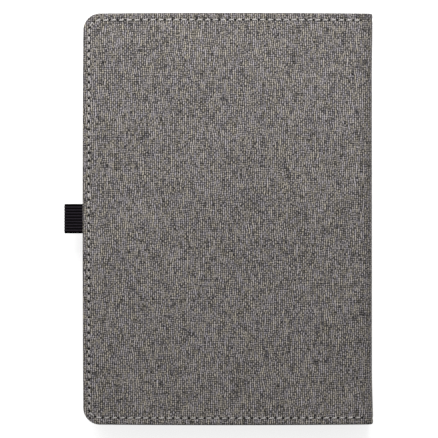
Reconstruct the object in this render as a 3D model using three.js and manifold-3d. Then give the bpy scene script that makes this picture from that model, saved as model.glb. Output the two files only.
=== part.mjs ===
// Tablet keyboard case: a cloth folio with a built-in keyboard, an easel panel for the tablet and a
// pen loop. It lies closed, tablet cover down. Millimetres, +Z up, origin under the middle of the
// bounding box. +X runs from the free edge to the spine and +Y to the right of the keyboard's user.
import * as THREE from "three";
import { mergeVertices } from "three/addons/utils/BufferGeometryUtils.js";
import Module from "manifold-3d";

const wasm = await Module();
wasm.setup();

// Folio
const CASE_LENGTH = 256;
const CASE_WIDTH = 179.8;
const CASE_THICKNESS = 25;
const CORNER_RADIUS = 10.3;
const FABRIC = 0.7;
const BOARD = 1.7;
const LINING = 0.6;
const RIM = 0.9;
const CLEAR = 0.3;
const FOLD_RADIUS = 3.5;

// Pen loop
const LOOP_REACH = 11.3;
const LOOP_WIDTH = 18;
const LOOP_TAPE = 0.8;
const LOOP_RADIUS = 5.2;
const LOOP_TAIL = 5;
const LOOP_CLEAR = 0.05;

// Magnets
const MAGNET_LENGTH = 20;
const MAGNET_WIDTH = 8;
const MAGNET_THICKNESS = 1.5;
const MAGNET_INSET = 9;
const MAGNET_OFFSET = 85;

// Keyboard
const SPINE_TO_KEYBOARD = 14;
const KEYBOARD_MARGIN = 6.5;
const KEY_FIELD_MARGIN = 4.05;
const KEYBOARD_THICKNESS = 4.8;
const WALL = 1.6;
const FLOOR = 0.6;
const PLATE = 0.8;
const SERVICE_STRIP = 16.5;
const PALM_BEZEL = 3.5;
const ROW_PITCH = 17;
const FUNCTION_ROW_PITCH = 11;
const ROW_UNITS = 14.5;
const KEY_GAP = 1.8;
const WELL_CLEARANCE = 0.4;
const FLANGE_REACH = 0.7;
const WEB = 0.4;
const KEY_HEIGHT = 1.2;
const MEMBRANE = 0.7;
const CONTACT_SHEET = 0.5;
const BUMPER_WIDTH = 2;
const BUMPER_LENGTH = 8;
const BUMPER_HEIGHT = 1.5;

// Controls on the service strip, measured in from the keyboard's right-hand end
const PORT_WIDTH = 8.9;
const PORT_HEIGHT = 2.9;
const PORT_DEPTH = 7.3;
const PORT_WALL = 0.3;
const CIRCUIT_BOARD_LENGTH = 50;
const CIRCUIT_BOARD_THICKNESS = 0.8;
const SWITCH_INSET = 23.5;
const SWITCH_LENGTH = 4;
const SWITCH_WIDTH = 2.2;
const SWITCH_TRAVEL = 2;
const BUTTON_INSET = 37.5;
const BUTTON_RADIUS = 1.65;
const LENS_INSET = 47.5;
const LENS_LENGTH = 2.6;
const LENS_WIDTH = 1;
const BATTERY_LENGTH = 90;
const BATTERY_GAP = 2;

// Stand
const PANEL_HINGE_TO_SPINE = 13.55;
const PANEL_END_MARGIN = 6.25;
const PANEL_HALF_LENGTH_MARGIN = 8;
const PANEL_CORNER = 8;
const PANEL_BOARD = 1.2;
const PANEL_PAD = 1;
const PANEL_PAD_INSET = 1;
const HINGE_LINE_ABOVE_LINING = 2;
const RAIL_WIDTH = 6;
const TAPE = 0.4;
const TAPE_MARGIN = 8;
const FOOT_MARGIN = 10.25;
const FOOT_EXTRA = 0.9;
const LEG_THICKNESS = 1.4;
const LEG_LENGTH_ALONG_CASE = 140;
const LEG_CORNER = 6;
const LEG_HINGE_GAP = 2;
const LEG_TAPE = 0.3;
const TILT = 64.8;
const GRIP_WIDTH = 18;
const GROOVE = 1.2;
const GROOVE_DEPTH = 0.3;
const STRAP_OFFSET = 24;
const STRAP_WIDTH = 12;
const STRAP_THICKNESS = 0.8;

// Planes worked out from the sizes above
const HALF_LENGTH = CASE_LENGTH / 2;
const SPINE_X = (CASE_WIDTH + LOOP_REACH) / 2;
const FREE_X = SPINE_X - CASE_WIDTH;
const COVER = FABRIC + BOARD + LINING;
const COVER_END_X = SPINE_X - FOLD_RADIUS;
const SPINE_Z0 = FOLD_RADIUS;
const SPINE_Z1 = CASE_THICKNESS - FOLD_RADIUS;
const LINING_TOP = COVER;
const HINGE_LINE_HEIGHT = LINING_TOP + HINGE_LINE_ABOVE_LINING;
const KEYBOARD_BACK = CASE_THICKNESS - COVER;

const colours = {
  cloth: 0x72706b,
  board: 0x8a7a63,
  lining: 0x55534f,
  elastic: 0x19181a,
  magnet: 0x9a9a9c,
  shell: 0x1d1d1f,
  key: 0x2a2a2d,
  silicone: 0xb9bcc0,
  film: 0xcfc9a8,
  circuit: 0x1f5a36,
  battery: 0x8d9197,
  metal: 0xb4b6b8,
  lens: 0xd8e6ee,
  rubber: 0x242425,
};

const group = new THREE.Group();

// Geometry helpers

function solid(geometry) {
  const bare = geometry.clone();
  bare.deleteAttribute("normal");
  bare.deleteAttribute("uv");
  const merged = mergeVertices(bare, 1e-4);
  return new wasm.Manifold(new wasm.Mesh({
    numProp: 3,
    vertProperties: new Float32Array(merged.attributes.position.array),
    triVerts: new Uint32Array(merged.index.array),
  }));
}

function geometryOf(manifold) {
  const { vertProperties, triVerts } = manifold.getMesh();
  const geometry = new THREE.BufferGeometry();
  geometry.setAttribute("position", new THREE.BufferAttribute(vertProperties, 3));
  geometry.setIndex(new THREE.BufferAttribute(triVerts, 1));
  geometry.computeVertexNormals();
  return geometry;
}

function add(name, manifold, colour, roughness = 0.8, metalness = 0) {
  const material = new THREE.MeshStandardMaterial({ color: colour, roughness, metalness });
  const mesh = new THREE.Mesh(geometryOf(manifold), material);
  mesh.name = name;
  group.add(mesh);
}

function block(x0, x1, y0, y1, z0, z1) {
  const geometry = new THREE.BoxGeometry(x1 - x0, y1 - y0, z1 - z0);
  geometry.translate((x0 + x1) / 2, (y0 + y1) / 2, (z0 + z1) / 2);
  return solid(geometry);
}

function prism(shape, z0, z1, curveSegments = 6) {
  const geometry = new THREE.ExtrudeGeometry(shape, {
    depth: z1 - z0,
    bevelEnabled: false,
    curveSegments,
  });
  geometry.translate(0, 0, z0);
  return solid(geometry);
}

// An outline drawn in X and Z, run along Y.
function alongY(shape, y0, y1, curveSegments = 8) {
  const geometry = new THREE.ExtrudeGeometry(shape, {
    depth: y1 - y0,
    bevelEnabled: false,
    curveSegments,
  });
  geometry.rotateX(Math.PI / 2);
  geometry.translate(0, y1, 0);
  return solid(geometry);
}

function roundedRectangle(x0, x1, y0, y1, r) {
  const shape = new THREE.Shape();
  shape.moveTo(x0 + r, y0);
  shape.lineTo(x1 - r, y0);
  shape.absarc(x1 - r, y0 + r, r, -Math.PI / 2, 0);
  shape.lineTo(x1, y1 - r);
  shape.absarc(x1 - r, y1 - r, r, 0, Math.PI / 2);
  shape.lineTo(x0 + r, y1);
  shape.absarc(x0 + r, y1 - r, r, Math.PI / 2, Math.PI);
  shape.lineTo(x0, y0 + r);
  shape.absarc(x0 + r, y0 + r, r, Math.PI, 1.5 * Math.PI);
  return shape;
}

// A cover's outline: round corners at the free edge, square ones at the spine.
function coverOutline(inset, endX) {
  const x0 = FREE_X + inset;
  const y1 = HALF_LENGTH - inset;
  const r = CORNER_RADIUS - inset;
  const shape = new THREE.Shape();
  shape.moveTo(endX, -y1);
  shape.lineTo(endX, y1);
  shape.lineTo(x0 + r, y1);
  shape.absarc(x0 + r, y1 - r, r, Math.PI / 2, Math.PI);
  shape.lineTo(x0, r - y1);
  shape.absarc(x0 + r, r - y1, r, Math.PI, 1.5 * Math.PI);
  return shape;
}

// Folio covers. facing is +1 for the lower cover (its cloth underneath) and -1 for the upper one.

const BOARD_INSET = RIM + CLEAR;

function coverLevel(facing, depth) {
  return facing > 0 ? depth : CASE_THICKNESS - depth;
}

function coverLayer(facing, inset, endX, from, to) {
  const levels = [coverLevel(facing, from), coverLevel(facing, to)].sort((a, b) => a - b);
  return prism(coverOutline(inset, endX), levels[0], levels[1]);
}

function coverBlock(facing, x0, x1, y0, y1, from, to) {
  const levels = [coverLevel(facing, from), coverLevel(facing, to)].sort((a, b) => a - b);
  return block(x0, x1, y0, y1, levels[0], levels[1]);
}

function coverFabric(facing) {
  const whole = coverLayer(facing, 0, COVER_END_X, 0, COVER);
  return whole.subtract(coverLayer(facing, RIM, COVER_END_X + 1, FABRIC, COVER + 1));
}

const magnetX = FREE_X + MAGNET_INSET;
const magnetDepth = FABRIC + (BOARD - MAGNET_THICKNESS) / 2;

function magnetBlock(facing, side, margin, from, to) {
  const y = side * MAGNET_OFFSET;
  return coverBlock(
    facing,
    magnetX - margin,
    magnetX + MAGNET_WIDTH + margin,
    y - MAGNET_LENGTH / 2 - margin,
    y + MAGNET_LENGTH / 2 + margin,
    from,
    to,
  );
}

function coverBoard(facing) {
  let board = coverLayer(facing, BOARD_INSET, COVER_END_X - CLEAR, FABRIC, FABRIC + BOARD);
  for (const side of [-1, 1]) {
    board = board.subtract(magnetBlock(facing, side, CLEAR, 0, COVER));
  }
  return board;
}

function addMagnets(prefix, facing) {
  [-1, 1].forEach((side, index) => {
    const magnet = magnetBlock(facing, side, 0, magnetDepth, magnetDepth + MAGNET_THICKNESS);
    add(`${prefix}_magnet_${index + 1}`, magnet, colours.magnet, 0.35, 0.9);
  });
}

// Pen loop: a ring of tape whose two ends run into the upper cover's board layer.

const loopTop = CASE_THICKNESS - FABRIC - LOOP_CLEAR;
const loopX = SPINE_X - CASE_WIDTH - LOOP_REACH + LOOP_RADIUS;
const loopZ = loopTop - LOOP_RADIUS;
const slotHalf = LOOP_WIDTH / 2 + CLEAR;
const slotEnd = FABRIC + 2 * LOOP_TAPE + 2 * LOOP_CLEAR;
const liningPocketEnd = slotEnd - LOOP_CLEAR / 2;

function penLoop() {
  const ring = new THREE.Shape();
  ring.absarc(loopX, loopZ, LOOP_RADIUS, 0, 2 * Math.PI);
  const bore = new THREE.Path();
  bore.absarc(loopX, loopZ, LOOP_RADIUS - LOOP_TAPE, 0, 2 * Math.PI, true);
  ring.holes.push(bore);
  const y0 = -LOOP_WIDTH / 2;
  const y1 = LOOP_WIDTH / 2;
  const tailEnd = FREE_X + LOOP_TAIL;
  const upper = block(loopX, tailEnd, y0, y1, loopTop - LOOP_TAPE, loopTop);
  const lowerStart = loopX + 0.62 * LOOP_RADIUS;
  const lower = block(lowerStart, tailEnd, y0, y1, loopTop - 2 * LOOP_TAPE, loopTop - LOOP_TAPE);
  return alongY(ring, y0, y1, 16).add(upper).add(lower);
}

function loopSlot(depth0, depth1) {
  return coverBlock(-1, FREE_X - 1, FREE_X + LOOP_TAIL + CLEAR, -slotHalf, slotHalf, depth0, depth1);
}

add("tablet_cover_fabric", coverFabric(1), colours.cloth, 0.95);
add("tablet_cover_board", coverBoard(1), colours.board, 0.9);
addMagnets("tablet_cover", 1);
add("keyboard_cover_fabric", coverFabric(-1).subtract(loopSlot(FABRIC, slotEnd)),
  colours.cloth, 0.95);
add("keyboard_cover_board", coverBoard(-1).subtract(loopSlot(0, COVER)), colours.board, 0.9);
add("keyboard_cover_lining",
  coverLayer(-1, BOARD_INSET, COVER_END_X - CLEAR, FABRIC + BOARD, COVER)
    .subtract(loopSlot(FABRIC, liningPocketEnd)),
  colours.lining, 0.9);
addMagnets("keyboard_cover", -1);
add("pen_loop", penLoop(), colours.elastic, 0.8);

// Spine, and the bare folds of cloth on both sides of it

function spineLayer(from, to, inset) {
  const y1 = HALF_LENGTH - inset;
  return block(SPINE_X - to, SPINE_X - from, -y1, y1, SPINE_Z0, SPINE_Z1);
}

function foldStrip(centreZ, start) {
  const shape = new THREE.Shape();
  shape.absarc(COVER_END_X, centreZ, FOLD_RADIUS, start, start + Math.PI / 2);
  shape.absarc(COVER_END_X, centreZ, FOLD_RADIUS - FABRIC, start + Math.PI / 2, start, true);
  return alongY(shape, -HALF_LENGTH, HALF_LENGTH);
}

add("spine_fabric", spineLayer(0, COVER, 0).subtract(spineLayer(FABRIC, COVER + 1, RIM)),
  colours.cloth, 0.95);
add("spine_board", spineLayer(FABRIC, FABRIC + BOARD, BOARD_INSET), colours.board, 0.9);
add("spine_lining", spineLayer(FABRIC + BOARD, COVER, BOARD_INSET), colours.lining, 0.9);
add("back_hinge_strip", foldStrip(SPINE_Z0, -Math.PI / 2), colours.cloth, 0.95);
add("front_hinge_strip", foldStrip(SPINE_Z1, 0), colours.cloth, 0.95);

// Stand: the panel is hinged to the lower cover by a tape, and the leg to the panel by another.

const panelHingeX = SPINE_X - PANEL_HINGE_TO_SPINE;
const panelEndX = FREE_X + PANEL_END_MARGIN;
const panelHalf = HALF_LENGTH - PANEL_HALF_LENGTH_MARGIN;
const panelNearX = panelHingeX - 0.5;
const legPivotX = (panelHingeX + FREE_X + FOOT_MARGIN) / 2;
const legReach = panelHingeX - legPivotX;
const panelTop = HINGE_LINE_HEIGHT + PANEL_BOARD + PANEL_PAD;
const legTop = HINGE_LINE_HEIGHT - LEG_TAPE;
const legHalf = LEG_LENGTH_ALONG_CASE / 2;
const tapeHalf = panelHalf - TAPE_MARGIN;
const railX0 = panelHingeX + 2.5;

// Where the foot stands when the panel is at its full tilt
const footX = panelHingeX - 2 * legReach * Math.cos(THREE.MathUtils.degToRad(TILT));
const gripX0 = footX - 0.6 * GRIP_WIDTH;
const gripHalf = legHalf + 4;

function gripStrip() {
  const bottom = FABRIC + BOARD;
  let strip = block(gripX0, gripX0 + GRIP_WIDTH, -gripHalf, gripHalf, bottom, LINING_TOP);
  for (let groove = 1; groove <= 3; groove += 1) {
    const x = gripX0 + groove * GRIP_WIDTH / 4;
    const z0 = LINING_TOP - GROOVE_DEPTH;
    strip = strip.subtract(block(x - GROOVE / 2, x + GROOVE / 2, -gripHalf - 1, gripHalf + 1, z0, COVER + 1));
  }
  return strip;
}

const lowerLining = coverLayer(1, BOARD_INSET, COVER_END_X - CLEAR, FABRIC + BOARD, COVER);
const gripPocket = block(gripX0 - CLEAR, gripX0 + GRIP_WIDTH + CLEAR, -gripHalf - CLEAR, gripHalf + CLEAR,
  0, COVER + 1);
add("tablet_cover_lining", lowerLining.subtract(gripPocket), colours.lining, 0.9);
add("foot_grip_strip", gripStrip(), colours.rubber, 0.9);

const railTop = HINGE_LINE_HEIGHT - TAPE;
add("hinge_rail", block(railX0, railX0 + RAIL_WIDTH, -tapeHalf, tapeHalf, LINING_TOP, railTop),
  colours.lining, 0.9);
add("panel_hinge_tape",
  block(panelHingeX - 5, railX0 + RAIL_WIDTH, -tapeHalf, tapeHalf, railTop, HINGE_LINE_HEIGHT),
  colours.elastic, 0.9);

function panelLayer(inset, z0, z1) {
  return prism(roundedRectangle(panelEndX + inset, panelNearX - inset, inset - panelHalf,
    panelHalf - inset, PANEL_CORNER - inset), z0, z1);
}

add("stand_panel_board", panelLayer(0, HINGE_LINE_HEIGHT, HINGE_LINE_HEIGHT + PANEL_BOARD),
  colours.lining, 0.9);
add("stand_panel_pad", panelLayer(PANEL_PAD_INSET, HINGE_LINE_HEIGHT + PANEL_BOARD, panelTop),
  colours.lining, 0.9);

// A strap crosses one corner of the panel at 45 degrees, from edge to edge.
function cornerStrap(towardSpine, side) {
  const edgeX = towardSpine > 0 ? panelNearX : panelEndX;
  const edgeY = side * panelHalf;
  const near = STRAP_OFFSET;
  const far = STRAP_OFFSET + STRAP_WIDTH * Math.SQRT2;
  const points = [
    new THREE.Vector2(edgeX, edgeY - side * near),
    new THREE.Vector2(edgeX, edgeY - side * far),
    new THREE.Vector2(edgeX - towardSpine * far, edgeY),
    new THREE.Vector2(edgeX - towardSpine * near, edgeY),
  ];
  const z0 = panelTop + CLEAR;
  return prism(new THREE.Shape(points), z0, z0 + STRAP_THICKNESS);
}

[[-1, -1], [-1, 1], [1, -1], [1, 1]].forEach(([towardSpine, side], index) => {
  add(`corner_strap_${index + 1}`, cornerStrap(towardSpine, side), colours.elastic, 0.8);
});

add("leg_hinge_tape",
  block(legPivotX - 8, legPivotX + 8, -legHalf, legHalf, legTop, HINGE_LINE_HEIGHT),
  colours.elastic, 0.9);
add("prop_leg",
  prism(roundedRectangle(legPivotX - legReach - FOOT_EXTRA, legPivotX - LEG_HINGE_GAP, -legHalf, legHalf,
    LEG_CORNER), legTop - LEG_THICKNESS, legTop),
  colours.lining, 0.9);

// Keyboard. It hangs face down from the upper cover's lining.

const keyboardHalf = HALF_LENGTH - KEYBOARD_MARGIN;
const keyboardNearX = SPINE_X - SPINE_TO_KEYBOARD;
const keysNearX = keyboardNearX - SERVICE_STRIP;
const keysFarX = keysNearX - FUNCTION_ROW_PITCH - 5 * ROW_PITCH;
const keyboardFarX = keysFarX - PALM_BEZEL;
const unit = 2 * (keyboardHalf - KEY_FIELD_MARGIN) / ROW_UNITS;
const plateFace = KEYBOARD_BACK - KEYBOARD_THICKNESS;
const plateInner = plateFace + PLATE;
const floorLevel = KEYBOARD_BACK - FLOOR;
const webBottom = plateInner + CLEAR;
const webTop = webBottom + WEB;
const stripX = (keysNearX + keyboardNearX - WALL) / 2;

// Each row is [name, widths in key units]; a name may be one node or several.
const letterKeys = (name, count) => Array.from({ length: count }, () => [name, 1]);
const rows = [
  { pitch: FUNCTION_ROW_PITCH, keys: Array.from({ length: 13 }, () => ["function_keys", ROW_UNITS / 13]) },
  { pitch: ROW_PITCH, keys: [...letterKeys("number_keys", 13), ["backspace_key", 1.5]] },
  { pitch: ROW_PITCH, keys: [["tab_key", 1.5], ...letterKeys("upper_letter_keys", 13)] },
  { pitch: ROW_PITCH, keys: [["caps_lock_key", 1.75], ...letterKeys("home_letter_keys", 11),
    ["enter_key", 1.75]] },
  { pitch: ROW_PITCH, keys: [["left_shift_key", 2.25], ...letterKeys("lower_letter_keys", 10),
    ["up_arrow_key", 1], ["right_shift_key", 1.25]] },
  { pitch: ROW_PITCH, keys: [["left_modifier_keys", 1.25], ["left_modifier_keys", 1],
    ["left_modifier_keys", 1], ["left_modifier_keys", 1.25], ["space_bar", 5],
    ["right_modifier_keys", 1], ["right_modifier_keys", 1],
    ["left_arrow_key", 1], ["down_arrow_key", 1], ["right_arrow_key", 1]] },
];

function keyPlaces() {
  const places = [];
  let x1 = keysNearX;
  for (const row of rows) {
    let y0 = -unit * ROW_UNITS / 2;
    for (const [name, width] of row.keys) {
      const y1 = y0 + width * unit;
      places.push({
        name,
        x0: x1 - row.pitch + KEY_GAP / 2,
        x1: x1 - KEY_GAP / 2,
        y0: y0 + KEY_GAP / 2,
        y1: y1 - KEY_GAP / 2,
      });
      y0 = y1;
    }
    x1 -= row.pitch;
  }
  return places;
}

const places = keyPlaces();
const switchY = keyboardHalf - SWITCH_INSET;
const buttonY = keyboardHalf - BUTTON_INSET;
const lensY = keyboardHalf - LENS_INSET;

function topPlate() {
  const shape = roundedRectangle(keyboardFarX, keyboardNearX, -keyboardHalf, keyboardHalf, 3);
  const below = plateFace - 1;
  const above = plateInner + 1;
  let plate = prism(shape, plateFace, plateInner);
  const well = WELL_CLEARANCE;
  for (const key of places) {
    plate = plate.subtract(block(key.x0 - well, key.x1 + well, key.y0 - well, key.y1 + well, below, above));
  }
  const switchHalf = SWITCH_WIDTH / 2 + CLEAR;
  const switchStart = switchY - SWITCH_LENGTH / 2 - CLEAR;
  const switchEnd = switchY + SWITCH_LENGTH / 2 + SWITCH_TRAVEL + CLEAR;
  const lensHalf = LENS_WIDTH / 2 + CLEAR;
  const lensReach = LENS_LENGTH / 2 + CLEAR;
  return plate
    .subtract(block(stripX - switchHalf, stripX + switchHalf, switchStart, switchEnd, below, above))
    .subtract(block(stripX - lensHalf, stripX + lensHalf, lensY - lensReach, lensY + lensReach, below, above))
    .subtract(disc(stripX, buttonY, BUTTON_RADIUS + CLEAR, below, above));
}

// The charging port lies in a notch of the base's right-hand end wall.
function keyboardBase() {
  const shape = roundedRectangle(keyboardFarX, keyboardNearX, -keyboardHalf, keyboardHalf, 3);
  const whole = prism(shape, plateInner, KEYBOARD_BACK);
  const inside = block(keyboardFarX + WALL, keyboardNearX - WALL, WALL - keyboardHalf, keyboardHalf - WALL,
    plateInner - 1, floorLevel);
  const notchHalf = PORT_WIDTH / 2 + CLEAR;
  const notch = block(stripX - notchHalf, stripX + notchHalf, keyboardHalf - WALL - 1, keyboardHalf + 1,
    plateInner - 1, floorLevel);
  return whole.subtract(inside).subtract(notch);
}

// A key cap with the flange under the plate that keeps it in. Caps of one node share their flange.
function keyNode(name) {
  const keys = places.filter((key) => key.name === name);
  const bounds = keys.reduce((box, key) => ({
    x0: Math.min(box.x0, key.x0),
    x1: Math.max(box.x1, key.x1),
    y0: Math.min(box.y0, key.y0),
    y1: Math.max(box.y1, key.y1),
  }));
  const r = FLANGE_REACH;
  let node = block(bounds.x0 - r, bounds.x1 + r, bounds.y0 - r, bounds.y1 + r, webBottom, webTop);
  for (const key of keys) {
    node = node.add(block(key.x0, key.x1, key.y0, key.y1, plateFace - KEY_HEIGHT, webTop));
  }
  return node;
}

const innerFarX = keyboardFarX + WALL + CLEAR;
const innerHalf = keyboardHalf - WALL - CLEAR;
const sheetNearX = keysNearX - CLEAR;
const portEndY = keyboardHalf;
const circuitEndY = portEndY - PORT_DEPTH - CLEAR;
const circuitStartY = circuitEndY - CIRCUIT_BOARD_LENGTH;
const circuitLevel = floorLevel - CIRCUIT_BOARD_THICKNESS;

// The board carries the slide switch, the push switch and the status light under their openings.
function circuitBoard() {
  const half = (SERVICE_STRIP - WALL) / 2 - CLEAR;
  const housing = (y, length, height) => block(stripX - 2, stripX + 2, y - length / 2, y + length / 2,
    circuitLevel - height, circuitLevel + 0.1);
  return block(stripX - half, stripX + half, circuitStartY, circuitEndY, circuitLevel, floorLevel)
    .add(housing(switchY + SWITCH_TRAVEL / 2, 9, 1.3))
    .add(housing(buttonY, 4, 0.9))
    .add(housing(lensY, 3, 1.2));
}

function chargingPort() {
  const z0 = floorLevel - 0.1 - PORT_HEIGHT;
  const z1 = z0 + PORT_HEIGHT;
  const half = PORT_WIDTH / 2;
  const outer = roundedRectangle(stripX - half, stripX + half, z0, z1, 1.2);
  const bore = roundedRectangle(stripX - half + PORT_WALL, stripX + half - PORT_WALL, z0 + PORT_WALL,
    z1 - PORT_WALL, 1);
  const socketDepth = 6;
  const tongueZ = (z0 + z1) / 2;
  const tongueStart = portEndY - socketDepth - 0.2;
  const shell = alongY(outer, portEndY - PORT_DEPTH, portEndY);
  const tongue = block(stripX - 3.2, stripX + 3.2, tongueStart, portEndY - 0.8, tongueZ - 0.35,
    tongueZ + 0.35);
  return shell.subtract(alongY(bore, portEndY - socketDepth, portEndY + 1)).add(tongue);
}

function powerSwitch() {
  const half = SWITCH_WIDTH / 2;
  const knob = block(stripX - half, stripX + half, switchY - SWITCH_LENGTH / 2, switchY + SWITCH_LENGTH / 2,
    plateFace - 0.8, webTop);
  return knob.add(block(stripX - half - 1, stripX + half + 1, switchY - SWITCH_LENGTH / 2 - 0.8,
    switchY + SWITCH_LENGTH / 2 + 0.8, webBottom, webTop));
}

function disc(x, y, radius, z0, z1) {
  const shape = new THREE.Shape();
  shape.absarc(x, y, radius, 0, 2 * Math.PI);
  return prism(shape, z0, z1, 12);
}

function pairingButton() {
  const cap = disc(stripX, buttonY, BUTTON_RADIUS, plateFace - 0.3, webTop);
  return cap.add(disc(stripX, buttonY, BUTTON_RADIUS + 1, webBottom, webTop))
    .add(disc(stripX, buttonY, 0.9, webTop - 0.1, webTop + 0.5));
}

function statusLens() {
  const length = LENS_LENGTH / 2;
  const width = LENS_WIDTH / 2;
  return block(stripX - width, stripX + width, lensY - length, lensY + length, plateFace, webTop)
    .add(block(stripX - width - 1, stripX + width + 1, lensY - length - 1, lensY + length + 1, webBottom,
      webTop));
}

add("keyboard_base", keyboardBase(), colours.shell, 0.55);
add("keyboard_top_plate", topPlate(), colours.shell, 0.5);
add("key_membrane",
  block(innerFarX, sheetNearX, -innerHalf, innerHalf, floorLevel - CONTACT_SHEET - MEMBRANE,
    floorLevel - CONTACT_SHEET), colours.silicone, 0.7);
add("contact_sheet",
  block(innerFarX, sheetNearX, -innerHalf, innerHalf, floorLevel - CONTACT_SHEET, floorLevel),
  colours.film, 0.5);
add("circuit_board", circuitBoard(), colours.circuit, 0.6);
const batteryEndY = circuitStartY - BATTERY_GAP;
add("battery_cell",
  block(keysNearX + CLEAR, keyboardNearX - WALL - CLEAR, batteryEndY - BATTERY_LENGTH, batteryEndY,
    webBottom, floorLevel), colours.battery, 0.4, 0.3);
add("charging_port", chargingPort(), colours.metal, 0.35, 1);
add("status_lens", statusLens(), colours.lens, 0.2);
add("power_switch", powerSwitch(), colours.key, 0.5);
add("pairing_button", pairingButton(), colours.key, 0.5);

// Pads in the side margins of the plate, one near each corner
const bumperY = keyboardHalf - KEY_FIELD_MARGIN / 2;
[[-1, -1], [-1, 1], [1, -1], [1, 1]].forEach(([towardSpine, side], index) => {
  const x = towardSpine > 0 ? keysNearX - BUMPER_LENGTH : keysFarX + BUMPER_LENGTH;
  const y = side * bumperY;
  const pad = roundedRectangle(x - BUMPER_LENGTH / 2, x + BUMPER_LENGTH / 2, y - BUMPER_WIDTH / 2,
    y + BUMPER_WIDTH / 2, BUMPER_WIDTH / 2 - 0.05);
  add(`screen_bumper_${index + 1}`, prism(pad, plateFace - BUMPER_HEIGHT, plateFace, 4), colours.rubber, 0.9);
});

for (const name of new Set(places.map((key) => key.name))) {
  add(name, keyNode(name), colours.key, 0.6);
}

export default group;
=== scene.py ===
"""Tablet keyboard case: cloth, linings, stitching, elastic, stand and keys round the CAD frame."""

import math

import bmesh
import bpy
import numpy as np
from bpy.props import FloatProperty, FloatVectorProperty, IntProperty, PointerProperty
from mathutils import Matrix, Vector


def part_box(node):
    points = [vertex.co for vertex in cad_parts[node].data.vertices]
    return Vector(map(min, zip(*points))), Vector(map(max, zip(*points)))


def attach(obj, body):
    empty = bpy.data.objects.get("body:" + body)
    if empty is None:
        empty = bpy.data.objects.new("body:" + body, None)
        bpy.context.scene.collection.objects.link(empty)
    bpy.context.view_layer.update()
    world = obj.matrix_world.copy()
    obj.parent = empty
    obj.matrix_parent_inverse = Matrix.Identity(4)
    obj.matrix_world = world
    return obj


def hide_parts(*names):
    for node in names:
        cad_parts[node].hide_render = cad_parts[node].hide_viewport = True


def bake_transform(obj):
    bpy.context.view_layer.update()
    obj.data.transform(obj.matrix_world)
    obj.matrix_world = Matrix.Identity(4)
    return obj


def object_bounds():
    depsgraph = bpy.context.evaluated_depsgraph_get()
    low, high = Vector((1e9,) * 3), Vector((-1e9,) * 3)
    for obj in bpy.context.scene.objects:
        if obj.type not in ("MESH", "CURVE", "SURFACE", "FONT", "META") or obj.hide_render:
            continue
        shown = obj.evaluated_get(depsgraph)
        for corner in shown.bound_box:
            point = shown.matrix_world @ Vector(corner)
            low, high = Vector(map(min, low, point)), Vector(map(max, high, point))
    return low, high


bl_info = {
    "name": "Tablet Keyboard Case",
    "version": (1, 0, 0),
    "blender": (4, 5, 0),
    "location": "View3D > Sidebar > Case",
    "description": "Makes the cloth folio, its stand and its keyboard round the packed frame",
    "category": "Add Mesh",
}

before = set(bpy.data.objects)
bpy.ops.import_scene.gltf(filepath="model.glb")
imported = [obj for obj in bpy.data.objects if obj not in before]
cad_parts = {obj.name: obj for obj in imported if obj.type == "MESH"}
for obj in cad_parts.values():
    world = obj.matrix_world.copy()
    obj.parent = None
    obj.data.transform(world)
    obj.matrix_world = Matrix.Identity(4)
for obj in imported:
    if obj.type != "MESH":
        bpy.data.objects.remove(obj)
CAD_BOUNDS = [list(corner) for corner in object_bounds()]

MM = 0.001

# Planes of the folio, read from the frame
COVER_LOW, COVER_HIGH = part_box("keyboard_cover_fabric")
SPINE_LOW, SPINE_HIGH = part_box("spine_fabric")
FREE_X = COVER_LOW.x
HINGE_X = COVER_HIGH.x
HALF = COVER_HIGH.y
TOP = COVER_HIGH.z
SPINE_X = SPINE_HIGH.x
FOLD = SPINE_X - HINGE_X
CORNER = 10.3 * MM
TURN_STEPS = 11
CLOTH = 0.5 * MM
NAP = 0.35 * MM
RIPPLE = 0.05 * MM
ELASTIC = 0.8 * MM
MIDDLE_X = (FREE_X + SPINE_X) / 2
REACH_X = (SPINE_X - FREE_X) / 2


# Properties that a user would change

COLOUR = {"size": 3, "subtype": "COLOR"}


class FolioSizes(bpy.types.PropertyGroup):
    stitch_pitch: FloatProperty(
        name="Stitch pitch", description="From one needle hole to the next", default=4.87 * MM,
        unit="LENGTH")
    seam_inset_free: FloatProperty(
        name="Seam inset, free edge", description="From the free edge to its row of stitches",
        default=3.8 * MM, unit="LENGTH")
    seam_inset_ends: FloatProperty(
        name="Seam inset, ends", description="From the folio's two ends to their rows of stitches",
        default=4.4 * MM, unit="LENGTH")
    first_stitch: FloatProperty(
        name="First stitch", description="Where the first needle hole lies on the seam",
        default=3.4 * MM, unit="LENGTH")
    thread_width: FloatProperty(
        name="Thread width", description="Width of the sewing thread", default=1.0 * MM,
        unit="LENGTH")
    spine_hollow: FloatProperty(
        name="Spine hollow", description="How far the spine draws in between its ends",
        default=0.8 * MM, unit="LENGTH")
    edge_bow: FloatProperty(
        name="Edge bow", description="How far an edge's ends lie inside its middle",
        default=0.45 * MM, unit="LENGTH")
    yarn_pitch: FloatProperty(
        name="Yarn pitch", description="Distance between two yarns of the outer cloth",
        default=1.2402 * MM, unit="LENGTH")


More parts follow.
